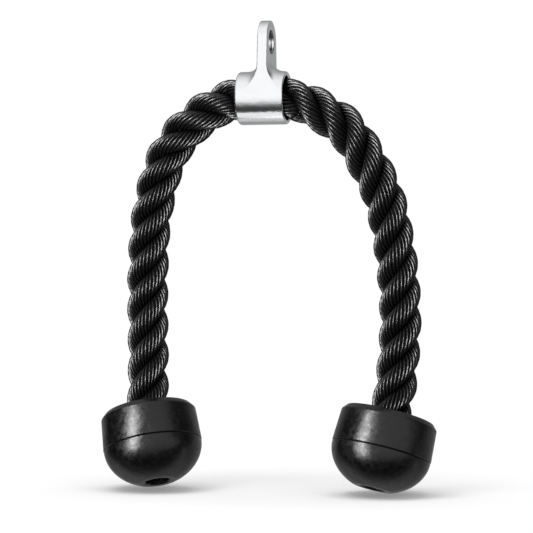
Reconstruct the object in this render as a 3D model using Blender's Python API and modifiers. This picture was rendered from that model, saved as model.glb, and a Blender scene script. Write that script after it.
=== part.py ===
"""Triceps rope attachment for a cable machine.

A cast eye sleeve hangs from the machine's snap hook. One laid rope runs through
the sleeve and hangs down on both sides, and each of its ends is held in a
moulded rubber cap by a pressed ring, a washer and a screw.

Metres, +Z up. The origin is the centre of the hole in the eye, and the sleeve's
axis runs along X. The front of the part looks along -Y.
"""

import math

import bmesh
import bpy
from mathutils import Matrix, Vector
from mathutils.geometry import interpolate_bezier

PART_NAME = "triceps_rope_attachment"

# Clearances and helpers for cutting
SEAT_GAP = 0.0003
CUT_OVERRUN = 0.002
CUT_LIFT = 0.0001

# Rope
ROPE_DIAMETER = 0.0285
ROPE_LEAD = 0.003
ROPE_POINT_SPACING = 0.011
ROPE_DROP_IN_SLEEVE = 0.0013

# Eye sleeve
SLEEVE_LENGTH = 0.036
SLEEVE_ROPE_CLEARANCE = 0.00205
SLEEVE_WALL = 0.0031
SLEEVE_END_ROUNDING = 0.002
SLEEVE_MOUTH_ROUNDING = 0.0012
EYE_HOLE_DIAMETER = 0.0164
EYE_RIM_WIDTH = 0.0074
EYE_HOLE_ROUNDING = 0.0015
EYE_ABOVE_SLEEVE = 0.0216
EYE_ASIDE = 0.0022  # to the right of the sleeve's middle
TAB_THICKNESS = 0.0074
TAB_FOOT_RADIUS = 0.006
TAB_FOOT_SINK = 0.0001
TAB_FLANK_SINK = 0.0003
TAB_EDGE_ROUNDING = 0.0012

# Rubber cap, with its height measured down its own axis
CAP_DIAMETER = 0.0726
CAP_RIM_DIAMETER = 0.0706
CAP_RIM_CHAMFER_WIDTH = 0.0036
CAP_RIM_CHAMFER_HEIGHT = 0.004
CAP_SKIRT_HEIGHT = 0.0278
CAP_DOME_HEIGHT = 0.0272
CAP_FOOT_DIAMETER = 0.028
CAP_SEAM_DEPTH = 0.0004
CAP_SEAM_WIDTH = 0.0011
CAP_MOUTH_ROUNDING = 0.0015
CAP_NECK_LENGTH = 0.024
CAP_ACCESS_HOLE_DIAMETER = 0.018
CAP_ACCESS_HOLE_CHAMFER = 0.001

# Rope retainer inside each cap
RING_WALL = 0.0024
RING_LENGTH = 0.016
RING_EDGE_CHAMFER = 0.0006
WASHER_THICKNESS = 0.002
WASHER_EDGE_WIDTH = 0.001
SCREW_SHANK_DIAMETER = 0.005
SCREW_SHANK_LENGTH = 0.022
SCREW_TIP_LENGTH = 0.004
SCREW_HEAD_DIAMETER = 0.011
SCREW_HEAD_HEIGHT = 0.0036
SCREW_HEAD_ROUNDING = 0.0016

# Facets
SLEEVE_STEPS = 72
CAP_STEPS = 48
SMALL_STEPS = 32
ROPE_BEVEL_RESOLUTION = 4
ARC_POINTS = 6
DOME_POINTS = 10
SPLINE_SAMPLES = 16
SHARP_EDGE_DEGREES = 50
TAB_EDGE_SEGMENTS = 2

# The rope's route on each side, from the middle of the sleeve's bore (metres).
# A bend ends at its last point, where the leg starts. A leg's last two points
# lie on the axis of the cap, where the rope goes into it.
LEFT_BEND_ROUTE = [
    (-0.0333, 0.0003, -0.0030),
    (-0.0462, 0.0016, -0.0103),
    (-0.0614, 0.0038, -0.0222),
    (-0.0756, 0.0069, -0.0414),
    (-0.0856, 0.0110, -0.0695),
]
LEFT_LEG_ROUTE = [
    (-0.0906, 0.0140, -0.0955),
    (-0.0925, 0.0159, -0.1213),
    (-0.0930, 0.0163, -0.1472),
    (-0.0920, 0.0143, -0.1830),
    (-0.0907, 0.0098, -0.2090),
    (-0.0896, 0.0049, -0.2285),
    (-0.0806, -0.0071, -0.2665),
]
RIGHT_BEND_ROUTE = [
    (0.0357, 0.0003, -0.0050),
    (0.0462, 0.0014, -0.0113),
    (0.0566, 0.0026, -0.0180),
    (0.0662, 0.0041, -0.0290),
    (0.0743, 0.0059, -0.0429),
    (0.0822, 0.0080, -0.0585),
    (0.0881, 0.0098, -0.0742),
]
RIGHT_LEG_ROUTE = [
    (0.0944, 0.0130, -0.1065),
    (0.0978, 0.0146, -0.1390),
    (0.0985, 0.0143, -0.1690),
    (0.0966, 0.0114, -0.2000),
    (0.0949, 0.0084, -0.2165),
    (0.0929, 0.0046, -0.2289),
    (0.0848, -0.0050, -0.2674),
]
LEFT_PIVOT = (-0.0614, 0.0038, -0.0222)
RIGHT_PIVOT = (0.0662, 0.0041, -0.0290)

ROPE_RADIUS = ROPE_DIAMETER / 2
SLEEVE_BORE_RADIUS = ROPE_RADIUS + SLEEVE_ROPE_CLEARANCE
SLEEVE_RADIUS = SLEEVE_BORE_RADIUS + SLEEVE_WALL
EYE_HOLE_RADIUS = EYE_HOLE_DIAMETER / 2
EYE_RADIUS = EYE_HOLE_RADIUS + EYE_RIM_WIDTH
EYE_TO_SLEEVE_AXIS = EYE_ABOVE_SLEEVE + SLEEVE_RADIUS
ROPE_CENTRE = Vector((-EYE_ASIDE, 0, -EYE_TO_SLEEVE_AXIS - ROPE_DROP_IN_SLEEVE))
CORE_HALF_LENGTH = SLEEVE_LENGTH / 2 + ROPE_LEAD
CAP_HEIGHT = CAP_SKIRT_HEIGHT + CAP_DOME_HEIGHT
NECK_RADIUS = ROPE_RADIUS + SEAT_GAP
RING_RADIUS = NECK_RADIUS + RING_WALL
CHAMBER_RADIUS = RING_RADIUS + SEAT_GAP
RING_TOP_DEPTH = CAP_NECK_LENGTH + SEAT_GAP
ROPE_END_DEPTH = RING_TOP_DEPTH + RING_LENGTH
WASHER_TOP_DEPTH = ROPE_END_DEPTH + SEAT_GAP
WASHER_FOOT_DEPTH = WASHER_TOP_DEPTH + WASHER_THICKNESS
CHAMBER_FOOT_DEPTH = WASHER_FOOT_DEPTH + SEAT_GAP
SCREW_HEAD_DEPTH = WASHER_FOOT_DEPTH + SEAT_GAP
SCREW_RADIUS = SCREW_SHANK_DIAMETER / 2
SCREW_HOLE_RADIUS = SCREW_RADIUS + SEAT_GAP


def clear_scene():
    for obj in list(bpy.data.objects):
        bpy.data.objects.remove(obj, do_unlink=True)


def new_collection(name):
    collection = bpy.data.collections.new(name)
    bpy.context.scene.collection.children.link(collection)
    return collection


def material(name, colour, roughness, metallic=0.0):
    found = bpy.data.materials.new(name)
    found.use_nodes = True
    shader = found.node_tree.nodes["Principled BSDF"]
    shader.inputs["Base Color"].default_value = (*colour, 1)
    shader.inputs["Roughness"].default_value = roughness
    shader.inputs["Metallic"].default_value = metallic
    return found


def add_object(name, data, collection, finish=None, parent=None):
    """Link a new object, standing at its parent's origin."""
    obj = bpy.data.objects.new(name, data)
    collection.objects.link(obj)
    obj.parent = parent
    if finish is not None:
        data.materials.append(finish)
    return obj


def add_empty(name, place, parent=None):
    """An empty at a place in world coordinates, unturned."""
    empty = add_object(name, None, parts, parent=parent)
    empty.location = place
    if parent is not None:
        empty.location = place - parent.matrix_world.translation
    bpy.context.view_layer.update()
    return empty


def make_cutter(obj):
    obj.hide_render = True
    obj.display_type = "WIRE"


def arc(centre, radius, start, end, points=ARC_POINTS):
    """Points on an arc in the plane of a profile, from one angle in degrees to another."""
    angles = [
        math.radians(start + (end - start) * i / (points - 1)) for i in range(points)
    ]
    return [
        (centre[0] + radius * math.cos(a), centre[1] + radius * math.sin(a))
        for a in angles
    ]


def turned(name, profile, collection, finish=None, parent=None, steps=SMALL_STEPS, ring=False):
    """Turn a profile of (radius, height) points about Z. A ring's profile closes on itself."""
    mesh = bpy.data.meshes.new(name)
    edges = [(i, i + 1) for i in range(len(profile) - 1)]
    if ring:
        edges.append((len(profile) - 1, 0))
    mesh.from_pydata([(r, 0, z) for r, z in profile], edges, [])
    obj = add_object(name, mesh, collection, finish, parent)
    screw = obj.modifiers.new("Turn", "SCREW")
    screw.axis = "Z"
    screw.steps = steps
    screw.render_steps = steps
    screw.use_merge_vertices = True
    screw.merge_threshold = SEAT_GAP / 10
    screw.use_smooth_shade = True
    return obj


def boolean(obj, other, operation):
    modifier = obj.modifiers.new(operation.title() + " " + other.name, "BOOLEAN")
    modifier.operation = operation
    modifier.object = other
    modifier.solver = "EXACT"


def tab_outline():
    """The eye and its tab seen along the sleeve's axis, as (y, z) points."""
    flank_radius = SLEEVE_RADIUS - TAB_FLANK_SINK
    lean = math.degrees(math.asin((flank_radius - EYE_RADIUS) / EYE_TO_SLEEVE_AXIS))
    over_the_eye = arc((0, 0), EYE_RADIUS, lean, 180 - lean, 4 * ARC_POINTS)
    foot_reach = flank_radius * math.cos(math.radians(lean))
    foot_height = flank_radius * math.sin(math.radians(lean)) - EYE_TO_SLEEVE_AXIS
    return over_the_eye + [(-foot_reach, foot_height), (foot_reach, foot_height)]


def make_tab_blank():
    """A prism with the tab's outline, wider than the sleeve is long."""
    curve = bpy.data.curves.new("tab_blank", "CURVE")
    curve.dimensions = "2D"
    curve.fill_mode = "BOTH"
    curve.extrude = SLEEVE_LENGTH / 2 + CUT_OVERRUN
    outline = tab_outline()
    spline = curve.splines.new("POLY")
    spline.points.add(len(outline) - 1)
    for point, (y, z) in zip(spline.points, outline):
        point.co = (y, z, 0, 1)
    spline.use_cyclic_u = True
    blank = curve_to_mesh(add_object("tab_blank", curve, cutters))
    stand_up = Matrix(((0, 0, 1, 0), (1, 0, 0, 0), (0, 1, 0, 0), (0, 0, 0, 1)))
    blank.data.transform(stand_up)
    make_cutter(blank)
    return blank


def curve_to_mesh(obj):
    """Replace a curve object by a welded mesh object of the same name and place."""
    name = obj.name
    obj.name = name + "_curve"
    bpy.context.view_layer.update()
    graph = bpy.context.evaluated_depsgraph_get()
    mesh = bpy.data.meshes.new_from_object(obj.evaluated_get(graph))
    mesh.name = name
    welded = bmesh.new()
    welded.from_mesh(mesh)
    bmesh.ops.remove_doubles(welded, verts=welded.verts, dist=SEAT_GAP / 10)
    bmesh.ops.recalc_face_normals(welded, faces=welded.faces)
    welded.to_mesh(mesh)
    welded.free()
    result = bpy.data.objects.new(name, mesh)
    for collection in obj.users_collection:
        collection.objects.link(result)
    result.parent = obj.parent
    result.matrix_world = obj.matrix_world.copy()
    bpy.data.objects.remove(obj, do_unlink=True)
    return result


def lay_along_x(obj, middle=-EYE_ASIDE):
    """Turn a shape made about Z so that it lies about the sleeve's axis."""
    obj.rotation_euler = (0, math.pi / 2, 0)
    obj.location = (middle, 0, -EYE_TO_SLEEVE_AXIS)


def make_tab():
    """The tab with its eye: a turned disc with a rounded foot, cut to the tab's outline."""
    half = TAB_THICKNESS / 2
    foot = SLEEVE_RADIUS - TAB_FOOT_SINK
    foot_centre = foot + TAB_FOOT_RADIUS
    reach = EYE_TO_SLEEVE_AXIS + EYE_RADIUS + CUT_OVERRUN
    lower = arc((foot_centre, -half - TAB_FOOT_RADIUS), TAB_FOOT_RADIUS, 90, 180)
    upper = arc((foot_centre, half + TAB_FOOT_RADIUS), TAB_FOOT_RADIUS, 180, 270)
    inside = SLEEVE_BORE_RADIUS + SLEEVE_WALL / 2
    profile = (
        [(inside, half + TAB_FOOT_RADIUS)]
        + upper
        + [(reach, half), (reach, -half)]
        + lower
        + [(inside, -half - TAB_FOOT_RADIUS)]
    )
    tab = turned("tab", profile, cutters, steps=SLEEVE_STEPS, ring=True)
    lay_along_x(tab, 0)
    boolean(tab, make_tab_blank(), "INTERSECT")
    edges = tab.modifiers.new("Soft edges", "BEVEL")
    edges.width = TAB_EDGE_ROUNDING
    edges.segments = TAB_EDGE_SEGMENTS
    edges.limit_method = "ANGLE"
    edges.angle_limit = math.radians(SHARP_EDGE_DEGREES)
    make_cutter(tab)
    return tab


def make_sleeve_bore():
    """The cutter for the rope's passage, with a rounded mouth at each end."""
    mouth = SLEEVE_BORE_RADIUS + SLEEVE_MOUTH_ROUNDING
    end = SLEEVE_LENGTH / 2
    straight = end + CUT_LIFT - SLEEVE_MOUTH_ROUNDING
    top = arc((mouth, straight), SLEEVE_MOUTH_ROUNDING, 90, 180)
    foot = arc((mouth, -straight), SLEEVE_MOUTH_ROUNDING, 180, 270)
    past = end + CUT_OVERRUN
    profile = [(0, past), (mouth, past)] + top + foot + [(mouth, -past), (0, -past)]
    cutter = turned("sleeve_bore", profile, cutters, steps=CAP_STEPS)
    lay_along_x(cutter)
    make_cutter(cutter)
    return cutter


def make_eye_hole():
    """The cutter for the hole in the eye, with rounded edges on both sides."""
    edge = EYE_HOLE_RADIUS + EYE_HOLE_ROUNDING
    half = TAB_THICKNESS / 2
    straight = half + CUT_LIFT - EYE_HOLE_ROUNDING
    top = arc((edge, straight), EYE_HOLE_ROUNDING, 90, 180)
    foot = arc((edge, -straight), EYE_HOLE_ROUNDING, 180, 270)
    past = half + CUT_OVERRUN
    profile = [(0, past), (edge, past)] + top + foot + [(edge, -past), (0, -past)]
    cutter = turned("eye_hole", profile, cutters)
    cutter.rotation_euler = (0, math.pi / 2, 0)
    make_cutter(cutter)
    return cutter


def make_eye_sleeve():
    """One casting: the sleeve round the rope, and the tab with the eye above it."""
    end = SLEEVE_LENGTH / 2
    inset = SLEEVE_RADIUS - SLEEVE_END_ROUNDING
    straight = end - SLEEVE_END_ROUNDING
    profile = (
        [(0, end)]
        + arc((inset, straight), SLEEVE_END_ROUNDING, 90, 0)
        + arc((inset, -straight), SLEEVE_END_ROUNDING, 0, -90)
        + [(0, -end)]
    )
    sleeve = turned("eye_sleeve", profile, parts, chrome, steps=SLEEVE_STEPS)
    lay_along_x(sleeve)
    boolean(sleeve, make_tab(), "UNION")
    boolean(sleeve, make_sleeve_bore(), "DIFFERENCE")
    boolean(sleeve, make_eye_hole(), "DIFFERENCE")
    return sleeve


def smooth_route(points):
    """A smooth curve through the points but the outer two, which only steer its ends.

    Returns the curve's points and the index there of each point that it goes through.
    """
    line, places = [points[1]], [0]
    for before, here, there, after in zip(points, points[1:], points[2:], points[3:]):
        third = (there - here).length / 3
        leave = here + (there - before).normalized() * third
        arrive = there - (after - here).normalized() * third
        piece = interpolate_bezier(here, leave, arrive, there, SPLINE_SAMPLES)
        line += [Vector(place) for place in piece[1:]]
        places.append(len(line) - 1)
    return line, places


def distances(line):
    """How far along the line each of its points lies."""
    along = [0.0]
    for here, there in zip(line, line[1:]):
        along.append(along[-1] + (there - here).length)
    return along


def evenly_spaced(line, spacing):
    """The line again, with its points one even step apart."""
    along = distances(line)
    count = max(1, round(along[-1] / spacing))
    found, i = [line[0]], 0
    for k in range(1, count):
        target = along[-1] * k / count
        while along[i + 1] < target:
            i += 1
        part = (target - along[i]) / (along[i + 1] - along[i])
        found.append(line[i].lerp(line[i + 1], part))
    return found + [line[-1]]


def make_rope_tube(name, line, pivot):
    """A plain tube along the line, with its origin at its pivot."""
    curve = bpy.data.curves.new(name, "CURVE")
    curve.dimensions = "3D"
    curve.bevel_depth = ROPE_RADIUS
    curve.bevel_resolution = ROPE_BEVEL_RESOLUTION
    curve.use_fill_caps = True
    spline = curve.splines.new("POLY")
    spline.points.add(len(line) - 1)
    centre = pivot.matrix_world.translation
    for point, place in zip(spline.points, line):
        point.co = (*(place - centre), 1)
    return add_object(name, curve, parts, rope_yarn, pivot)


def make_rope_side(side, sign, bend_points, leg_points, pivot_point):
    """One side of the rope: the bend beside the sleeve, then the leg into the cap.

    Returns the empties at the leg's pivot and at the cap's seat.
    """
    lead = Vector((sign * ROPE_LEAD, 0, 0))
    start = ROPE_CENTRE + Vector((sign * (CORE_HALF_LENGTH + SEAT_GAP), 0, 0))
    route = [ROPE_CENTRE + Vector(point) for point in bend_points + leg_points]
    entry = route[-2]
    down = (route[-1] - entry).normalized()
    rope_end = entry + down * ROPE_END_DEPTH
    line, places = smooth_route([start, start + lead] + route[:-1] + [rope_end])
    split = places[len(bend_points)]
    leg = evenly_spaced(line[split:], ROPE_POINT_SPACING) + [rope_end]
    along = (leg[1] - leg[0]).normalized()
    bend = [start] + evenly_spaced(line[: split + 1], ROPE_POINT_SPACING)[:-1]
    bend += [leg[0] - along * (SEAT_GAP + ROPE_LEAD), leg[0] - along * SEAT_GAP]

    leg_pivot = add_empty(side + "_leg_pivot", ROPE_CENTRE + Vector(pivot_point), rope_pivot)
    seat = add_empty(side + "_cap_seat", entry, leg_pivot)
    seat.rotation_mode = "QUATERNION"
    seat.rotation_quaternion = (-down).to_track_quat("Z", "Y")
    make_rope_tube("rope_bend_" + side, bend, rope_pivot)
    leg_rope = curve_to_mesh(make_rope_tube("rope_leg_" + side, leg, leg_pivot))
    boolean(leg_rope, make_screw_hole(side, seat), "DIFFERENCE")
    length = distances(bend)[-1] + SEAT_GAP + distances(leg)[-1]
    print(f"rope, {side} side, from the core's end to its cut end: {length:.4f} m")
    return seat


def make_screw_hole(side, seat):
    """The cutter for the hole that the screw makes in the rope's end."""
    tip = SCREW_HEAD_DEPTH - SCREW_SHANK_LENGTH - SEAT_GAP
    foot = ROPE_END_DEPTH + CUT_OVERRUN
    profile = [(0, -tip), (SCREW_HOLE_RADIUS, -tip), (SCREW_HOLE_RADIUS, -foot), (0, -foot)]
    cutter = turned("screw_hole_" + side, profile, cutters, parent=seat)
    make_cutter(cutter)
    return cutter


def make_cap(side, seat):
    """The moulded rubber cap: a tapered skirt over a dome, with the retainer's chamber inside."""
    radius = CAP_DIAMETER / 2
    rim = CAP_RIM_DIAMETER / 2
    foot = CAP_FOOT_DIAMETER / 2
    access = CAP_ACCESS_HOLE_DIAMETER / 2
    half_seam = CAP_SEAM_WIDTH / 2
    mouth = NECK_RADIUS + CAP_MOUTH_ROUNDING
    full_turn = math.acos(foot / radius)
    dome_height = CAP_DOME_HEIGHT / math.sin(full_turn)
    dome = [
        (
            radius * math.cos(full_turn * i / DOME_POINTS),
            -CAP_SKIRT_HEIGHT - dome_height * math.sin(full_turn * i / DOME_POINTS),
        )
        for i in range(1, DOME_POINTS + 1)
    ]
    profile = (
        arc((mouth, -CAP_MOUTH_ROUNDING), CAP_MOUTH_ROUNDING, 180, 90)
        + [
            (rim - CAP_RIM_CHAMFER_WIDTH, 0),
            (rim, -CAP_RIM_CHAMFER_HEIGHT),
            (radius, -CAP_SKIRT_HEIGHT + half_seam),
            (radius - CAP_SEAM_DEPTH, -CAP_SKIRT_HEIGHT),
            (radius, -CAP_SKIRT_HEIGHT - half_seam),
        ]
        + dome
        + [
            (access + CAP_ACCESS_HOLE_CHAMFER, -CAP_HEIGHT),
            (access, -CAP_HEIGHT + CAP_ACCESS_HOLE_CHAMFER),
            (access, -CHAMBER_FOOT_DEPTH),
            (CHAMBER_RADIUS, -CHAMBER_FOOT_DEPTH),
            (CHAMBER_RADIUS, -CAP_NECK_LENGTH),
            (NECK_RADIUS, -CAP_NECK_LENGTH),
        ]
    )
    turned("cap_" + side, profile, parts, rubber, seat, CAP_STEPS, ring=True)


def make_retaining_ring(side, seat):
    """The steel ring pressed round the rope's end, which bears on the cap's neck."""
    foot = RING_TOP_DEPTH + RING_LENGTH
    cut = RING_EDGE_CHAMFER
    profile = [
        (NECK_RADIUS, -RING_TOP_DEPTH),
        (RING_RADIUS - cut, -RING_TOP_DEPTH),
        (RING_RADIUS, -RING_TOP_DEPTH - cut),
        (RING_RADIUS, -foot + cut),
        (RING_RADIUS - cut, -foot),
        (NECK_RADIUS, -foot),
    ]
    turned("retaining_ring_" + side, profile, parts, zinc, seat, ring=True)


def make_washer(side, seat):
    """The washer under the rope's end."""
    outer = RING_RADIUS - WASHER_EDGE_WIDTH
    profile = [
        (SCREW_HOLE_RADIUS, -WASHER_TOP_DEPTH),
        (outer, -WASHER_TOP_DEPTH),
        (outer, -WASHER_FOOT_DEPTH),
        (SCREW_HOLE_RADIUS, -WASHER_FOOT_DEPTH),
    ]
    turned("washer_" + side, profile, parts, zinc, seat, ring=True)


def make_screw(side, seat):
    """The screw through the washer into the rope's end, with its head in the access hole."""
    tip = SCREW_HEAD_DEPTH - SCREW_SHANK_LENGTH
    head = SCREW_HEAD_DIAMETER / 2
    foot = SCREW_HEAD_DEPTH + SCREW_HEAD_HEIGHT
    crown = (head - SCREW_HEAD_ROUNDING, -foot + SCREW_HEAD_ROUNDING)
    profile = (
        [
            (0, -tip),
            (SCREW_RADIUS, -tip - SCREW_TIP_LENGTH),
            (SCREW_RADIUS, -SCREW_HEAD_DEPTH),
            (head, -SCREW_HEAD_DEPTH),
        ]
        + arc(crown, SCREW_HEAD_ROUNDING, 0, -90)
        + [(0, -foot)]
    )
    turned("end_screw_" + side, profile, parts, zinc, seat)


clear_scene()
parts = new_collection(PART_NAME)
cutters = new_collection("cutters")
chrome = material("satin_chrome", (0.72, 0.73, 0.74), 0.28, 1.0)
rope_yarn = material("black_rope", (0.02, 0.02, 0.021), 0.62)
rubber = material("black_rubber", (0.018, 0.018, 0.018), 0.42)
zinc = material("zinc_plated_steel", (0.58, 0.58, 0.56), 0.38, 1.0)

make_eye_sleeve()
rope_pivot = add_empty("rope_pivot", ROPE_CENTRE)
core_ends = [ROPE_CENTRE + Vector((sign * CORE_HALF_LENGTH, 0, 0)) for sign in (-1, 1)]
make_rope_tube("rope_core", core_ends, rope_pivot)
sides = (
    ("left", -1, LEFT_BEND_ROUTE, LEFT_LEG_ROUTE, LEFT_PIVOT),
    ("right", 1, RIGHT_BEND_ROUTE, RIGHT_LEG_ROUTE, RIGHT_PIVOT),
)
for side, sign, bend_points, leg_points, pivot_point in sides:
    cap_seat = make_rope_side(side, sign, bend_points, leg_points, pivot_point)
    make_cap(side, cap_seat)
    make_retaining_ring(side, cap_seat)
    make_washer(side, cap_seat)
    make_screw(side, cap_seat)
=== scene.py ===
import math

import bmesh
import bpy
from mathutils import Matrix, Vector, noise
from mathutils.geometry import interpolate_bezier


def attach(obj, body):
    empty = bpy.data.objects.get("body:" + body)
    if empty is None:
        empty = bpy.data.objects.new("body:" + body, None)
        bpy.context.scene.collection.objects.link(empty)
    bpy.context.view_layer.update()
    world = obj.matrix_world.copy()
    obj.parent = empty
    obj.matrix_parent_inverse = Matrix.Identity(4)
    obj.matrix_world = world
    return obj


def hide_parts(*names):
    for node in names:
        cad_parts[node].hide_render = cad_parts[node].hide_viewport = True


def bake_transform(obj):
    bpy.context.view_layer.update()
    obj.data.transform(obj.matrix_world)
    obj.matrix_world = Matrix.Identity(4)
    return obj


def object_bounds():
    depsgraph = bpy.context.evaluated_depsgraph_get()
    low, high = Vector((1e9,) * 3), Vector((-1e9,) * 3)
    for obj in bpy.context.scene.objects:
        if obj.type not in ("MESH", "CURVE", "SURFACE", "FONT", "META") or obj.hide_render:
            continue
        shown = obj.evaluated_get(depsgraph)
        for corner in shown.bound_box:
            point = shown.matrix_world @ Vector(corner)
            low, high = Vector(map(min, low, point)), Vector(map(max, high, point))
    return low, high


# Triceps rope attachment: a cast eye sleeve, a laid rope through it, and a rubber cap on each end.
# Metres, Z up. The origin is the centre of the eye's hole, and the front looks along -Y.

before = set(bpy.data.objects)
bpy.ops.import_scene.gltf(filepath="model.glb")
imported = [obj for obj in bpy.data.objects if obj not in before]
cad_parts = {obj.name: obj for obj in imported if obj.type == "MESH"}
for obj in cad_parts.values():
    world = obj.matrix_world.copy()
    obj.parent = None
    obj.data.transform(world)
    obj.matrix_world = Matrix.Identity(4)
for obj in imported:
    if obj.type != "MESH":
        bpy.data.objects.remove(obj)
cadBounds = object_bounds()


# Camera

camera = {
    "aim": (-0.0002, 0.0, -0.164),
    "turn": 13.0,  # degrees towards +X from straight in front
    "rise": 0.0,
    "distance": 1.5,
    "viewWidth": 0.3895,  # width of the picture at the object
}


def towardsAzimuth(turn, rise):
    turn, rise = math.radians(turn), math.radians(rise)
    level = math.cos(rise)
    return Vector((math.sin(turn) * level, -math.cos(turn) * level, math.sin(rise)))


def addCamera(spec):
    away = towardsAzimuth(spec["turn"], spec["rise"])
    lens = bpy.data.cameras.new("viewCamera")
    lens.lens = lens.sensor_width * spec["distance"] / spec["viewWidth"]
    eye = bpy.data.objects.new("viewCamera", lens)
    bpy.context.scene.collection.objects.link(eye)
    eye.location = Vector(spec["aim"]) + away * spec["distance"]
    eye.rotation_euler = away.to_track_quat("Z", "Y").to_euler()
    bpy.context.scene.camera = eye


addCamera(camera)
print("camera placed")


# Node expressions for the materials


class Signal:
    def __init__(self, tree, socket):
        self.tree = tree
        self.socket = socket

    def combined(self, operation, other, swapped=False):
        node = self.tree.nodes.new("ShaderNodeMath")
        node.operation = operation
        for socket, value in zip(node.inputs, (other, self) if swapped else (self, other)):
            feed(self.tree, socket, value)
        return Signal(self.tree, node.outputs[0])

    def __add__(self, other):
        return self.combined("ADD", other)

    def __radd__(self, other):
        return self.combined("ADD", other, True)

    def __sub__(self, other):
        return self.combined("SUBTRACT", other)

    def __rsub__(self, other):
        return self.combined("SUBTRACT", other, True)

    def __mul__(self, other):
        return self.combined("MULTIPLY", other)

    def __rmul__(self, other):
        return self.combined("MULTIPLY", other, True)

    def __pow__(self, other):
        return self.combined("POWER", other)


def feed(tree, socket, value):
    if isinstance(value, Signal):
        tree.links.new(value.socket, socket)
    else:
        socket.default_value = value


class Graph:
    def __init__(self, tree):
        self.tree = tree

    def node(self, kind, settings=None, sockets=None, output=0):
        node = self.tree.nodes.new("ShaderNode" + kind)
        for key, value in (settings or {}).items():
            if key == "stops":
                ramp = node.color_ramp.elements
                stops = [ramp[0], ramp[1]] + [ramp.new(0.5) for _ in value[2:]]
                for stop, (place, shade) in zip(stops, value):
                    stop.position = place
                    stop.color = (shade, shade, shade, 1)
            else:
                setattr(node, key, value)
        for key, value in (sockets or {}).items():
            feed(self.tree, node.inputs[key], value)
        return Signal(self.tree, node.outputs[output])

    def separated(self, vector):
        return [self.node("SeparateXYZ", {}, {"Vector": vector}, axis) for axis in range(3)]

    def noise(self, coordinates, scale, detail=2.0, roughness=0.5):
        sockets = {"Vector": coordinates, "Scale": scale, "Detail": detail, "Roughness": roughness}
        return self.node("TexNoise", {}, sockets)

    def bump(self, height, distance, strength, after=None):
        sockets = {"Height": height, "Distance": distance, "Strength": strength}
        if after is not None:
            sockets["Normal"] = after
        return self.node("Bump", {}, sockets)

    def blended(self, share, low, high):
        low, high = [shade if isinstance(shade, Signal) else (*shade, 1) for shade in (low, high)]
        return self.node("Mix", {"data_type": "RGBA"}, {"Factor": share, 6: low, 7: high}, 2)

    def absolute(self, value):
        return self.node("Math", {"operation": "ABSOLUTE"}, {0: value})

    def reach(self, vector, kept):  # how far it lies from the origin, along the kept axes alone
        flat = self.node("VectorMath", {"operation": "MULTIPLY"}, {0: vector, 1: kept})
        return self.node("VectorMath", {"operation": "LENGTH"}, {"Vector": flat}, 1)

    def between(self, value, low, high):
        sockets = {"Value": value, "From Min": low, "From Max": high}
        return self.node("MapRange", {"interpolation_type": "SMOOTHSTEP"}, sockets)


class Finish(Graph):
    def __init__(self, name, **constants):
        self.material = bpy.data.materials.new(name)
        self.material.use_nodes = True
        super().__init__(self.material.node_tree)
        self.shader = self.tree.nodes["Principled BSDF"]
        for socket, value in constants.items():
            self.shader.inputs[socket.replace("_", " ")].default_value = value

    def wire(self, socket, signal):
        self.tree.links.new(signal.socket, self.shader.inputs[socket])


def objectCoordinates(finish):
    return finish.node("TexCoord", output=3)


# In a finish, noise is scale, detail and roughness, and a bump is depth and strength.

chromeLook = {
    "grain": (1100, 3.0, 0.6),
    "patches": (190, 2.0),
    "colours": ((0.765, 0.778, 0.792), (0.825, 0.838, 0.85)),
    "holeShadeAndHighlight": ((0.22, 0.22, 0.23), (0.93, 0.93, 0.94)),  # of the eye's hole: painted shade at its top and bottom, and a painted highlight level with its middle
    "wallEdge": (0.0003, 0.0013),  # past the hole's radius
    "holeHighlightHeights": (0.0045, 0.0025),  # from the hole's middle: where the painted highlight begins and is full
    "roughness": 0.12,
    "grainRoughness": 0.1,
    "wallRoughness": 0.06,
    "grainBump": (0.00005, 0.5),
    "patchBump": (0.0003, 0.5),
}


def castChrome(spec, eyeHoleRadius):
    finish = Finish("castChrome", Metallic=1.0)
    place = objectCoordinates(finish)
    grain = finish.noise(place, *spec["grain"])
    patches = finish.noise(place, *spec["patches"])
    fromEyeAxis = finish.reach(place, (0, 1, 1))
    offHoleWall = finish.between(fromEyeAxis, *[eyeHoleRadius + edge for edge in spec["wallEdge"]])
    _, _, height = finish.separated(place)
    # the hole's wall is painted: painted shade at its top and bottom, and a painted highlight level
    # with its middle
    highlightShare = finish.between(finish.absolute(height), *spec["holeHighlightHeights"])
    paintedHoleColour = finish.blended(highlightShare, *spec["holeShadeAndHighlight"])
    platedColour = finish.blended(patches, *spec["colours"])
    finish.wire("Base Color", finish.blended(offHoleWall, paintedHoleColour, platedColour))
    wallRoughness = spec["wallRoughness"] * (1 - offHoleWall)
    finish.wire("Roughness", spec["roughness"] + spec["grainRoughness"] * grain + wallRoughness)
    dents = finish.bump(patches, *spec["patchBump"])
    finish.wire("Normal", finish.bump(grain, *spec["grainBump"], dents))
    return finish.material


yarnLook = {
    "specular": 0.28,
    "wander": (260, 2.0),
    "wanderReach": 5.0,
    "patches": (120, 3.0, 0.6),
    "grooveSharpness": 3.0,
    "fibres": 3,  # across each yarn, on a slant
    "fibreSlant": 2400,  # radians for each metre along the rope
    # the first colour is painted shade, reached deep in the yarns' grooves
    "colours": ((0.0006, 0.0006, 0.0006), (0.0045, 0.0045, 0.0047)),
    "roughness": 0.26,
    "patchRoughness": 0.14,
    "grooveRoughness": 0.4,
    "fibreBump": (0.00008, 0.7),
}


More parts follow.
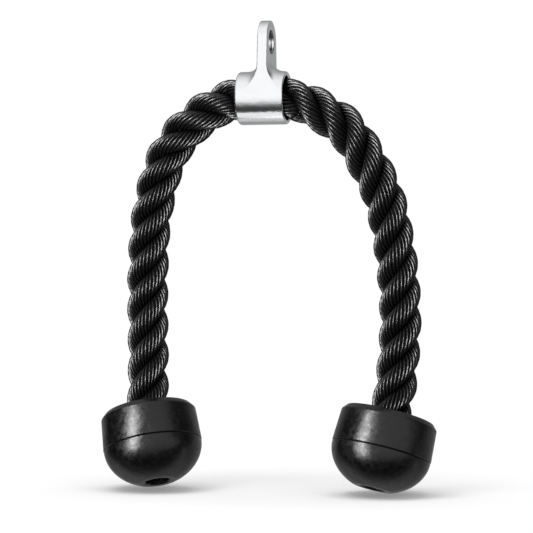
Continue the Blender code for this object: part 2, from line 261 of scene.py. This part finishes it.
def ropeYarn(spec):
    finish = Finish("ropeYarn", Specular_IOR_Level=spec["specular"])
    surface = finish.node("UVMap", {"uv_map": "yarn"})
    across, along, _ = finish.separated(surface)
    within = finish.node("Math", {"operation": "FRACT"}, {0: across}) * 2 - 1
    groove = finish.absolute(within) ** spec["grooveSharpness"]
    place = objectCoordinates(finish)
    wander = finish.noise(place, *spec["wander"]) * spec["wanderReach"]
    slant = across * (spec["fibres"] * math.tau) + along * spec["fibreSlant"] + wander
    fibres = finish.node("Math", {"operation": "SINE"}, {0: slant}) * 0.5 + 0.5
    patches = finish.noise(place, *spec["patches"])
    # the base colour varies at random and darkens into the yarns' grooves as painted shade
    finish.wire("Base Color", finish.blended(patches * (1 - groove), *spec["colours"]))
    grooveRoughness = spec["grooveRoughness"] * groove
    finish.wire("Roughness", spec["roughness"] + spec["patchRoughness"] * patches + grooveRoughness)
    finish.wire("Normal", finish.bump(fibres, *spec["fibreBump"]))
    return finish.material


rubberLook = {
    "specular": 0.35,
    "haze": (60, 4.0, 0.65),
    "scuffs": (260, 4.0, 0.6),
    "scuffEdges": (0.35, 0.65),
    "grain": (1400, 2.0),
    "waves": (140, 3.0),
    "colours": ((0.0018, 0.0018, 0.002), (0.004, 0.004, 0.0042)),
    "roughness": 0.16,
    "hazeRoughness": 0.12,
    "scuffRoughness": 0.13,
    "grainBump": (0.00002, 0.5),
    "waveBump": (0.0005, 0.5),
}


def capRubber(spec):
    finish = Finish("capRubber", Specular_IOR_Level=spec["specular"])
    place = objectCoordinates(finish)
    haze = finish.noise(place, *spec["haze"])
    scuffs = finish.between(finish.noise(place, *spec["scuffs"]), *spec["scuffEdges"])
    grain = finish.noise(place, *spec["grain"])
    waves = finish.noise(place, *spec["waves"])
    finish.wire("Base Color", finish.blended(haze, *spec["colours"]))
    scuffRoughness = spec["scuffRoughness"] * scuffs
    finish.wire("Roughness", spec["roughness"] + spec["hazeRoughness"] * haze + scuffRoughness)
    moulded = finish.bump(waves, *spec["waveBump"])
    finish.wire("Normal", finish.bump(grain, *spec["grainBump"], moulded))
    return finish.material


zincLook = {
    "spangle": (700, 3.0),
    "colours": ((0.48, 0.48, 0.47), (0.63, 0.63, 0.61)),
    "roughness": 0.28,
    "spangleRoughness": 0.18,
}


def zincPlate(spec):
    finish = Finish("zincPlate", Metallic=1.0)
    place = objectCoordinates(finish)
    spangle = finish.noise(place, *spec["spangle"])
    finish.wire("Base Color", finish.blended(spangle, *spec["colours"]))
    finish.wire("Roughness", spec["roughness"] + spec["spangleRoughness"] * spangle)
    return finish.material


# Helpers for meshes

mergeDistance = 1e-6


def linked(name, bm, finish=None):
    mesh = bpy.data.meshes.new(name)
    bm.to_mesh(mesh)
    bm.free()
    mesh.shade_smooth()
    piece = bpy.data.objects.new(name, mesh)
    bpy.context.scene.collection.objects.link(piece)
    if finish is not None:
        mesh.materials.append(finish)
    return piece


def profileChain(bm, points, closed):
    verts = [bm.verts.new(point) for point in points]
    pairs = list(zip(verts, verts[1:])) + ([(verts[-1], verts[0])] if closed else [])
    for pair in pairs:
        bm.edges.new(pair)
    return verts


def roundCorners(bm, corners, radius, segments=6):
    bmesh.ops.bevel(
        bm, geom=corners, offset=radius, offset_type="OFFSET", segments=segments,
        profile=0.5, affect="VERTICES", material=-1,
    )


def spun(bm, centre, axis, steps):
    bmesh.ops.spin(
        bm, geom=list(bm.verts) + list(bm.edges), cent=centre, axis=axis, dvec=(0, 0, 0),
        angle=math.tau, steps=steps, use_merge=True,
    )
    bmesh.ops.remove_doubles(bm, verts=bm.verts, dist=mergeDistance)
    bmesh.ops.recalc_face_normals(bm, faces=bm.faces)


def arcPoints(centre, radius, start, end, count):
    angles = [math.radians(start + (end - start) * i / (count - 1)) for i in range(count)]
    return [(centre[0] + radius * math.cos(a), centre[1] + radius * math.sin(a)) for a in angles]


def settled(piece):
    graph = bpy.context.evaluated_depsgraph_get()
    mesh = bpy.data.meshes.new_from_object(piece.evaluated_get(graph))
    piece.modifiers.clear()
    piece.data = mesh


# The rope

rope = {
    "diameter": 0.0285,
    "centre": (-0.0022, 0, -0.0423),
    "sleeveHalf": 0.018,  # from the rope's centre to the sleeve's mouth, where each side comes out
    "coreHalf": 0.021,
    "gap": 0.0003,
    "lead": 0.003,
    "endDepth": 0.0403,  # from the cap's mouth to the rope's cut end
    "strands": 3,
    "lay": 0.069,  # one turn of a strand
    "strandRadius": 0.0071,
    "strandOffset": 0.0084,
    "pressedShare": 0.93,  # of its size, inside the cap
    "pressedAtMouth": 0.3,  # how far the pressing has come at the cap's mouth
    "pressedOver": 0.3,  # the share of the capped stretch that the pressing takes
    "yarns": 12,
    "yarnDepth": 0.0024,
    "profileShares": [  # across one yarn: place and height
        (0.0, 0.0), (0.08, 0.14), (0.18, 0.56), (0.32, 0.9),
        (0.5, 1.0), (0.68, 0.9), (0.82, 0.56), (0.92, 0.14),
    ],
    "rowStep": 0.0011,
    "pathEvery": 6,  # rows between the points of the cord's path
    "samples": 16,
    "wobble": 0.00012,
    "driftsPerMetre": 30,
    "driftSeeds": (7.0, 3.0),  # for each strand, and for the side
    "plumpsPerMetre": 45,
    "plumpSeeds": (3.1, 17, 5.0),  # for each yarn, for each strand, and for all
}
# bend and leg: the route's points, from the rope's centre
# slip: distance along the rope, and how far its strands lie further down it there
ropeSides = {
    "left": {
        "sign": -1,
        "slip": [(0.0, 0.0032), (0.05, 0.0034), (0.15, 0.0059), (0.24, 0.0049)],
        "bend": [
            (-0.0333, 0.0003, -0.0030), (-0.0462, 0.0016, -0.0103), (-0.0614, 0.0038, -0.0222),
            (-0.0756, 0.0069, -0.0414), (-0.0856, 0.0110, -0.0695),
        ],
        "leg": [
            (-0.0906, 0.0140, -0.0955), (-0.0925, 0.0159, -0.1213), (-0.0930, 0.0163, -0.1472),
            (-0.0920, 0.0143, -0.1830), (-0.0907, 0.0098, -0.2090), (-0.0896, 0.0049, -0.2285),
            (-0.0806, -0.0071, -0.2665),
        ],
        "length": 0.3237,
        "nodes": ("rope_core", "rope_bend_left", "rope_leg_left"),
    },
    "right": {
        "sign": 1,
        "slip": [(0.0, 0.0172), (0.1, 0.0162), (0.2, 0.0104), (0.24, 0.0091)],
        "bend": [
            (0.0357, 0.0003, -0.0050), (0.0462, 0.0014, -0.0113), (0.0566, 0.0026, -0.0180),
            (0.0662, 0.0041, -0.0290), (0.0743, 0.0059, -0.0429), (0.0822, 0.0080, -0.0585),
            (0.0881, 0.0098, -0.0742),
        ],
        "leg": [
            (0.0944, 0.0130, -0.1065), (0.0978, 0.0146, -0.1390), (0.0985, 0.0143, -0.1690),
            (0.0966, 0.0114, -0.2000), (0.0949, 0.0084, -0.2165), (0.0929, 0.0046, -0.2289),
            (0.0848, -0.0050, -0.2674),
        ],
        "length": 0.3241,
        "nodes": ("rope_bend_right", "rope_leg_right"),
    },
}


def capSeat(side):
    points = [Vector(rope["centre"]) + Vector(point) for point in side["leg"][-2:]]
    return points[0], (points[1] - points[0]).normalized()


def ropeRoute(spec, side):
    centre = Vector(spec["centre"])
    start = centre + Vector((side["sign"] * (spec["coreHalf"] + spec["gap"]), 0, 0))
    entry, down = capSeat(side)
    inner = [start, start + Vector((side["sign"] * spec["lead"], 0, 0))]
    stops = inner + [centre + Vector(point) for point in side["bend"] + side["leg"][:-1]]
    stops.append(entry + down * spec["endDepth"])  # in place of the leg's last point
    line = [centre, start, stops[1]]
    for before, here, there, after in zip(stops, stops[1:], stops[2:], stops[3:]):
        third = (there - here).length / 3
        leave = here + (there - before).normalized() * third
        arrive = there - (after - here).normalized() * third
        line += interpolate_bezier(here, leave, arrive, there, spec["samples"])[1:]
    return line + [stops[-1]]


def evenly(line, step):
    along = [0.0]
    for here, there in zip(line, line[1:]):
        along.append(along[-1] + (there - here).length)
    count = round(along[-1] / step)
    found, i = [line[0]], 0
    for k in range(1, count):
        target = along[-1] * k / count
        while along[i + 1] < target:
            i += 1
        found.append(line[i].lerp(line[i + 1], (target - along[i]) / (along[i + 1] - along[i])))
    return found + [line[-1]], along[-1]


def directions(line):
    last = len(line) - 1
    return [(line[min(i + 1, last)] - line[max(i - 1, 0)]).normalized() for i in range(len(line))]


def slipped(slip, along):
    for (here, low), (there, high) in zip(slip, slip[1:]):
        if along <= there:
            return low + (high - low) * (along - here) / (there - here)
    return slip[-1][1]


def makeRopeSide(name, spec, side, finish):
    line, length = evenly(ropeRoute(spec, side), spec["rowStep"])
    ahead = directions(line)
    rows = len(line) - 1
    inCap = spec["endDepth"] / length

    def pressed(share):
        deep = (share - 1 + inCap) / (inCap * spec["pressedOver"]) + spec["pressedAtMouth"]
        deep = min(max(deep, 0), 1)
        return 1 - (1 - spec["pressedShare"]) * deep * deep * (3 - 2 * deep)

    up, ups = Vector((0, 0, 1)), []
    for direction in ahead:
        up = (up - direction * up.dot(direction)).normalized()
        ups.append(up.copy())
    turnRate = math.tau / spec["lay"]
    offset, radius = spec["strandOffset"], spec["strandRadius"]
    lean = math.atan(offset * turnRate)
    # the yarns turn against the strands, so that they run along the rope on its outside
    yarnRate = -(offset + radius) * turnRate / (radius * math.cos(lean))
    shares = spec["profileShares"]
    columns = spec["yarns"] * len(shares)
    strandDrift, sideDrift = spec["driftSeeds"]
    yarnPlump, strandPlump, plumpStart = spec["plumpSeeds"]
    bm = bmesh.new()
    uvLayer = bm.loops.layers.uv.new("yarn")
    for strand in range(spec["strands"]):
        centres, outs = [], []
        for i, (point, direction, upward) in enumerate(zip(line, ahead, ups)):
            along = length * i / rows
            laid = turnRate * (along - slipped(side["slip"], along))
            turn = math.tau * strand / spec["strands"] + laid
            out = upward * math.cos(turn) + direction.cross(upward) * math.sin(turn)
            seed = (along * spec["driftsPerMetre"], strand * strandDrift, side["sign"] * sideDrift)
            drift = noise.noise(Vector(seed))
            centres.append(point + out * (offset + spec["wobble"] * drift) * pressed(i / rows))
            outs.append(out)
        strandAhead = directions(centres)
        grid = bmesh.ops.create_grid(
            bm, x_segments=columns, y_segments=rows, size=0.5, calc_uvs=True,
        )["verts"]
        seam = []
        for vert in grid:
            column = round((vert.co.x + 0.5) * columns)
            row = round((vert.co.y + 0.5) * rows)
            if column in (0, columns):
                seam.append(vert)
            column %= columns
            yarn, part = divmod(column, len(shares))
            reach, height = shares[part]
            along = length * row / rows
            angle = math.tau * (yarn + reach) / spec["yarns"] + yarnRate * along
            out = outs[row] - strandAhead[row] * outs[row].dot(strandAhead[row])
            out.normalize()
            beside = strandAhead[row].cross(out)
            place = yarn * yarnPlump + strand * strandPlump
            plump = noise.noise(Vector((place, along * spec["plumpsPerMetre"], plumpStart)))
            groove = spec["yarnDepth"] * (1 - height)
            distance = radius - groove + spec["wobble"] * plump * height
            around = out * math.cos(angle) + beside * math.sin(angle)
            vert.co = centres[row] + around * distance * pressed(row / rows)
        bmesh.ops.remove_doubles(bm, verts=seam, dist=mergeDistance)
    for face in bm.faces:
        for loop in face.loops:
            u, v = loop[uvLayer].uv
            loop[uvLayer].uv = (u * spec["yarns"], v * length)
    ends = [edge for edge in bm.edges if edge.is_boundary]
    bmesh.ops.holes_fill(bm, edges=ends, sides=0)
    bmesh.ops.recalc_face_normals(bm, faces=bm.faces)
    piece = linked(name, bm, finish)
    path = line[::spec["pathEvery"]]
    return piece, path if path[-1] == line[-1] else path + [line[-1]]


yarnFinish = ropeYarn(yarnLook)
ropePieces = []
for sideName, side in ropeSides.items():
    piece, path = makeRopeSide("rope" + sideName.title(), rope, side, yarnFinish)
    ropePieces.append(piece)
    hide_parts(*side["nodes"])
    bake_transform(piece)
    print("rope, " + sideName + " side laid:", len(piece.data.polygons), "faces")


# The eye sleeve

casting = {
    "length": 0.036,
    "aside": -0.0022,  # the sleeve's middle, from the eye
    "boreRadius": 0.0163,
    "wall": 0.0031,
    "endRounding": 0.0017,
    "mouthRounding": 0.0014,
    "axisDrop": 0.041,
    "eyeHoleRadius": 0.0082,
    "eyeRadius": 0.0156,
    "eyeHoleRounding": 0.0015,
    "eyeRimPoints": 8,
    "tabThickness": 0.0074,
    "tabEdgeRounding": 0.0019,
    "tabEdgeSegments": 4,
    "tabEdgeDegrees": 50,
    "tabOutlinePoints": 64,
    "sink": 0.0003,  # of the tab's flanks in the sleeve
    "spare": 0.002,  # how far each cutter reaches past what it cuts
    "steps": 180,
    "voxel": 0.00042,
    "smoothing": 5,
    "footRadius": 0.0098,
    "footPoints": 12,
    "footSmoothing": 18,
    "footTopShare": 0.45,  # of the foot's radius: what lies below it is smoothed
    "footMargin": 0.001,
    "footFades": (0.002, 0.003, 0.004),  # where the smoothing fades: sideways, upwards, at the axis
}


def addCut(piece, other, operation):
    cut = piece.modifiers.new(operation, "BOOLEAN")
    cut.operation = operation
    cut.object = other


def addSmoothing(piece, name, rounds, group=""):
    smoothing = piece.modifiers.new(name, "SMOOTH")
    smoothing.factor = 0.5
    smoothing.iterations = rounds
    smoothing.vertex_group = group


def makeCasting(spec, finish):
    axisPoint, alongX = Vector((0, 0, -spec["axisDrop"])), Vector((1, 0, 0))
    middle = Vector((spec["aside"], 0, 0))
    end, outer, bore = spec["length"] / 2, spec["boreRadius"] + spec["wall"], spec["boreRadius"]
    half, foot = spec["tabThickness"] / 2, spec["footRadius"]

    def turnedAboutBore(name, points, aside=Vector(), rounding=()):
        bm = bmesh.new()
        verts = profileChain(bm, [axisPoint + aside + Vector((x, 0, r)) for x, r in points], True)
        for radius, chosen in rounding:
            roundCorners(bm, [verts[i] for i in chosen], radius)
        spun(bm, axisPoint, alongX, spec["steps"])
        return linked(name, bm)

    sleeve = turnedAboutBore(
        "eyeSleeve", [(-end, bore), (-end, outer), (end, outer), (end, bore)], middle,
        [(spec["endRounding"], (1, 2)), (spec["mouthRounding"], (0, 3))],
    )
    reach = spec["axisDrop"] + spec["eyeRadius"] + spec["spare"]
    inside = bore + spec["wall"] / 2
    rightFoot = arcPoints((half + foot, outer + foot), foot, 270, 180, spec["footPoints"])
    tab = turnedAboutBore(
        "tab",
        [(half + foot, inside)] + rightFoot + [(half, reach), (-half, reach)]
        + [(-x, r) for x, r in reversed(rightFoot)] + [(-half - foot, inside)],
    )

    flank = outer - spec["sink"]
    lean = math.degrees(math.asin((flank - spec["eyeRadius"]) / spec["axisDrop"]))
    low = arcPoints((0, -spec["axisDrop"]), flank, lean, lean + 1, 2)[0]
    crown = arcPoints((0, 0), spec["eyeRadius"], lean, 180 - lean, spec["tabOutlinePoints"])
    bm = bmesh.new()
    verts = [bm.verts.new((-end, y, z)) for y, z in crown + [(-low[0], low[1]), low]]
    moved = bmesh.ops.extrude_face_region(bm, geom=[bm.faces.new(verts)])["geom"]
    farSide = [part for part in moved if isinstance(part, bmesh.types.BMVert)]
    bmesh.ops.translate(bm, verts=farSide, vec=(2 * end, 0, 0))
    bmesh.ops.recalc_face_normals(bm, faces=bm.faces)
    blank = linked("tabBlank", bm)

    rounding = spec["eyeHoleRounding"]
    edge, past = spec["eyeHoleRadius"] + rounding, half + spec["spare"]
    rim = arcPoints((half - rounding, edge), rounding, 0, -90, spec["eyeRimPoints"])  # (x, radius)
    points = [(-past, 0), (-past, edge)] + [(-x, r) for x, r in rim]
    points += list(reversed(rim)) + [(past, edge), (past, 0)]
    bm = bmesh.new()
    profileChain(bm, [Vector((x, 0, r)) for x, r in points], False)
    spun(bm, (0, 0, 0), alongX, spec["steps"])
    eyeHole = linked("eyeHole", bm)

    addCut(tab, blank, "INTERSECT")
    soften = tab.modifiers.new("Soft edges", "BEVEL")
    soften.width = spec["tabEdgeRounding"]
    soften.segments = spec["tabEdgeSegments"]
    soften.limit_method = "ANGLE"
    soften.angle_limit = math.radians(spec["tabEdgeDegrees"])
    addCut(sleeve, tab, "UNION")
    addCut(sleeve, eyeHole, "DIFFERENCE")
    cells = sleeve.modifiers.new("Cells", "REMESH")
    cells.mode = "VOXEL"
    cells.voxel_size = spec["voxel"]
    cells.use_smooth_shade = True
    addSmoothing(sleeve, "Cast edges", spec["smoothing"])
    settled(sleeve)

    # the lower part of the foot blends into the sleeve
    lowFoot = sleeve.vertex_groups.new(name="foot")
    footTop = outer + foot * spec["footTopShare"] - spec["axisDrop"]
    besideFade, topFade, axisFade = spec["footFades"]
    for vert in sleeve.data.vertices:
        beside = half + foot + spec["footMargin"] - abs(vert.co.x)
        above = (vert.co.z + spec["axisDrop"]) / axisFade
        weight = min(beside / besideFade, (footTop - vert.co.z) / topFade, above)
        lowFoot.add([vert.index], min(max(weight, 0), 1), "REPLACE")
    addSmoothing(sleeve, "Blended foot", spec["footSmoothing"], lowFoot.name)
    settled(sleeve)
    sleeve.vertex_groups.clear()
    for helper in (tab, blank, eyeHole):
        bpy.data.objects.remove(helper, do_unlink=True)
    sleeve.data.materials.clear()
    sleeve.data.materials.append(finish)
    sleeve.data.shade_smooth()
    return sleeve


eyeSleeve = makeCasting(casting, castChrome(chromeLook, casting["eyeHoleRadius"]))
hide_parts("eye_sleeve")
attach(eyeSleeve, "fitting")
print("casting made:", len(eyeSleeve.data.polygons), "faces")


# The caps

cap = {
    "radius": 0.0363,
    "rimRadius": 0.0353,
    "chamferWidth": 0.0036,
    "chamferHeight": 0.004,
    "skirt": 0.0278,
    "dome": 0.0272,
    "footRadius": 0.014,
    "seamDepth": 0.0006,
    "seamLip": 0.0003,
    "seamWidth": 0.0013,
    "mouthRounding": 0.0015,
    "neckRadius": 0.01455,
    "neck": 0.024,
    "chamberRadius": 0.01725,
    "chamberFoot": 0.0429,
    "accessRadius": 0.009,
    "accessChamfer": 0.001,
    "edgeRounding": 0.0006,
    "seamRoundingShare": 0.25,  # of edgeRounding
    "domePoints": 28,
    "steps": 144,
    "sharpDegrees": 35,
}


def makeCap(name, spec, entry, down, finish):
    height = spec["skirt"] + spec["dome"]
    turn = math.acos(spec["footRadius"] / spec["radius"])
    domeHeight = spec["dome"] / math.sin(turn)
    halfSeam = spec["seamWidth"] / 2
    turns = [turn * i / spec["domePoints"] for i in range(1, spec["domePoints"] + 1)]
    dome = [(spec["radius"] * math.cos(a), spec["skirt"] + domeHeight * math.sin(a)) for a in turns]
    corners = {
        "mouth": (spec["neckRadius"], 0),
        "rimTop": (spec["rimRadius"] - spec["chamferWidth"], 0),
        "rim": (spec["rimRadius"], spec["chamferHeight"]),
        "seamTop": (spec["radius"] + spec["seamLip"], spec["skirt"] - halfSeam),
        "seam": (spec["radius"] - spec["seamDepth"], spec["skirt"]),
        "seamFoot": (spec["radius"], spec["skirt"] + halfSeam),
    }
    inner = [
        (spec["accessRadius"] + spec["accessChamfer"], height),
        (spec["accessRadius"], height - spec["accessChamfer"]),
        (spec["accessRadius"], spec["chamberFoot"]),
        (spec["chamberRadius"], spec["chamberFoot"]),
        (spec["chamberRadius"], spec["neck"]),
        (spec["neckRadius"], spec["neck"]),
    ]
    points = list(corners.values()) + dome + inner
    bm = bmesh.new()
    verts = profileChain(bm, [Vector((r, 0, -depth)) for r, depth in points], True)
    named = dict(zip(corners, verts))
    foot = verts[len(corners) + len(dome) - 1]
    roundCorners(bm, [named["mouth"]], spec["mouthRounding"])
    roundCorners(bm, [named["rimTop"], named["rim"], foot], spec["edgeRounding"], 4)
    seamRounding = spec["edgeRounding"] * spec["seamRoundingShare"]
    roundCorners(bm, [named["seamTop"], named["seamFoot"]], seamRounding, 2)
    spun(bm, (0, 0, 0), (0, 0, 1), spec["steps"])
    stand = (-down).to_track_quat("Z", "Y").to_matrix().to_4x4()
    bmesh.ops.transform(bm, matrix=Matrix.Translation(entry) @ stand, verts=bm.verts)
    piece = linked(name, bm, finish)
    piece.data.set_sharp_from_angle(angle=math.radians(spec["sharpDegrees"]))
    return piece


rubber = capRubber(rubberLook)
capPieces = []
for sideName, side in ropeSides.items():
    piece = makeCap("cap" + sideName.title(), cap, *capSeat(side), rubber)
    capPieces.append(piece)
    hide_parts("cap_" + sideName)
    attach(piece, sideName + "_end")
print("caps moulded")


# The retainers keep their solids

zinc = zincPlate(zincLook)
retainerNames = ("retaining_ring", "washer", "end_screw")
retainers = [solid for node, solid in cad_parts.items() if node.startswith(retainerNames)]
for solid in retainers:
    solid.data.materials.clear()
    solid.data.materials.append(zinc)
print("retainers plated:", len(retainers))


# Floor, backdrop and light

studio = {
    "floorDepth": 0.0012,  # below the lowest point of the caps
    "floorHalfWidth": 4.0,
    "floorShade": 0.65,
    "floorGlow": 0.235,  # near the part, where its shadow shows
    "glowRadii": (0.1, 0.28),  # from here on the floor turns into the white backdrop
    "floorRoughness": 0.9,
    "floorSpecular": 0.1,
    "worldLight": 0.45,
    # what the pieces mirror: degrees up from straight in front, over the top to behind
    "mirrorLight": 1.22,
    "mirrorStrip": [
        (-180, 0.36), (-150, 0.11), (-134, 0.26), (-118, 0.52), (-106, 0.6), (-97, 0.52),
        (-89, 0.14), (-60, 0.03), (-46, 0.04), (-37, 0.12), (-29, 0.36), (-20, 0.72),
        (-10, 0.92), (0, 0.97), (20, 0.97), (40, 0.93), (54, 0.88), (68, 0.9),
        (90, 0.76), (108, 0.58), (125, 0.39), (150, 0.26), (180, 0.32),
    ],
    # the studio's dark sides: azimuth, rise, how near each begins and is full, the light it leaves
    "darkSides": [(-80, 0, 0.7, 0.93, 0.06), (100, 22, 0.75, 0.98, 0.15)],
}
# a lamp with mirroredBy shows only as a reflection in those pieces, and the others light softly
lamps = {
    "softbox": {
        "turn": -34, "rise": 6, "distance": 1.1, "size": (0.4, 1.15), "watts": 35,
        "mirroredBy": "rubber",
    },
    "ropeSoftbox": {
        "turn": -20, "rise": 4, "distance": 1.1, "size": (0.5, 0.9), "watts": 74,
        "mirroredBy": "rope",
    },
    "bounce": {
        "turn": 0, "rise": -89, "distance": 0.1, "size": (0.12, 0.055), "watts": 0.0186,
        "mirroredBy": "metal", "aim": (-0.012, -0.0235, -0.042),
    },
    "key": {"turn": -40, "rise": 60, "distance": 1.3, "size": (0.6, 0.6), "watts": 6},
    "fill": {"turn": 60, "rise": 45, "distance": 1.4, "size": (0.9, 0.9), "watts": 2},
    "top": {"turn": 10, "rise": 87, "distance": 1.2, "size": (0.9, 0.9), "watts": 10},
}


def makeFloor(spec, lowest):
    bm = bmesh.new()
    bmesh.ops.create_grid(bm, x_segments=1, y_segments=1, size=spec["floorHalfWidth"])
    bmesh.ops.translate(bm, verts=bm.verts, vec=(0, 0, lowest - spec["floorDepth"]))
    finish = Finish(
        "paleFloor", Roughness=spec["floorRoughness"], Specular_IOR_Level=spec["floorSpecular"],
    )
    finish.wire("Emission Strength", finish.node("LightPath", output="Is Camera Ray"))
    share = finish.between(finish.reach(objectCoordinates(finish), (1, 1, 0)), *spec["glowRadii"])
    glow, shade = spec["floorGlow"], spec["floorShade"]
    finish.wire("Base Color", finish.blended(share, (shade, shade, shade), (0, 0, 0)))
    finish.wire("Emission Color", finish.blended(share, (glow, glow, glow), (1, 1, 1)))
    floor = linked("floor", bm, finish.material)
    floor.visible_glossy = False
    floor.visible_shadow = False
    return floor


def makeWorld(spec):
    world = bpy.data.worlds.new("whiteBackdrop")
    world.use_nodes = True
    bpy.context.scene.world = world
    graph = Graph(world.node_tree)
    background = graph.tree.nodes["Background"]
    background.inputs["Color"].default_value = (1, 1, 1, 1)
    seen = graph.node("LightPath", output="Is Camera Ray")
    glossy = graph.node("LightPath", output="Is Glossy Ray")
    mirrored = glossy + graph.node("LightPath", output="Is Transmission Ray")
    towards = graph.node("TexCoord", output="Generated")
    _, depth, height = graph.separated(towards)
    fromFront = graph.node("Math", {"operation": "ARCTAN2"}, {0: height, 1: 0 - depth})
    climb = fromFront * (1 / math.tau) + 0.5
    stops = [(degrees / 360 + 0.5, light) for degrees, light in spec["mirrorStrip"]]
    around = graph.node("ValToRGB", {"stops": stops}, {"Fac": climb}) * spec["mirrorLight"]
    for turn, rise, begins, ends, left in spec["darkSides"]:
        sockets = {0: towards, 1: towardsAzimuth(turn, rise)}
        nearness = graph.node("VectorMath", {"operation": "DOT_PRODUCT"}, sockets, "Value")
        around = around * (1 - (1 - left) * graph.between(nearness, begins, ends))
    light = seen + mirrored * around + (1 - seen - mirrored) * spec["worldLight"]
    feed(graph.tree, background.inputs["Strength"], light)


def addLamp(name, spec, aim, mirrors):
    away = towardsAzimuth(spec["turn"], spec["rise"])
    aim = Vector(spec.get("aim", aim))
    lamp = bpy.data.lights.new(name, "AREA")
    lamp.shape = "RECTANGLE"
    lamp.size, lamp.size_y = spec["size"]
    lamp.energy = spec["watts"]
    holder = bpy.data.objects.new(name, lamp)
    bpy.context.scene.collection.objects.link(holder)
    holder.location = aim + away * spec["distance"]
    holder.rotation_euler = away.to_track_quat("Z", "Y").to_euler()
    holder.visible_camera = False
    kind = spec.get("mirroredBy")
    holder.visible_glossy = kind is not None
    holder.visible_diffuse = kind is None
    if kind is not None:
        holder.light_linking.receiver_collection = mirrors[kind]


def grouped(name, pieces):
    group = bpy.data.collections.new(name)
    for piece in pieces:
        group.objects.link(piece)
    return group


floor = makeFloor(studio, cadBounds[0][2])
makeWorld(studio)
mirrors = {
    "rope": grouped("ropePieces", ropePieces),
    "rubber": grouped("rubberPieces", capPieces),
    "metal": grouped("metalPieces", [eyeSleeve] + retainers),
}
for lampName, spec in lamps.items():
    addLamp(lampName, spec, camera["aim"], mirrors)
bpy.context.scene.view_settings.view_transform = "Standard"
print("studio lit")
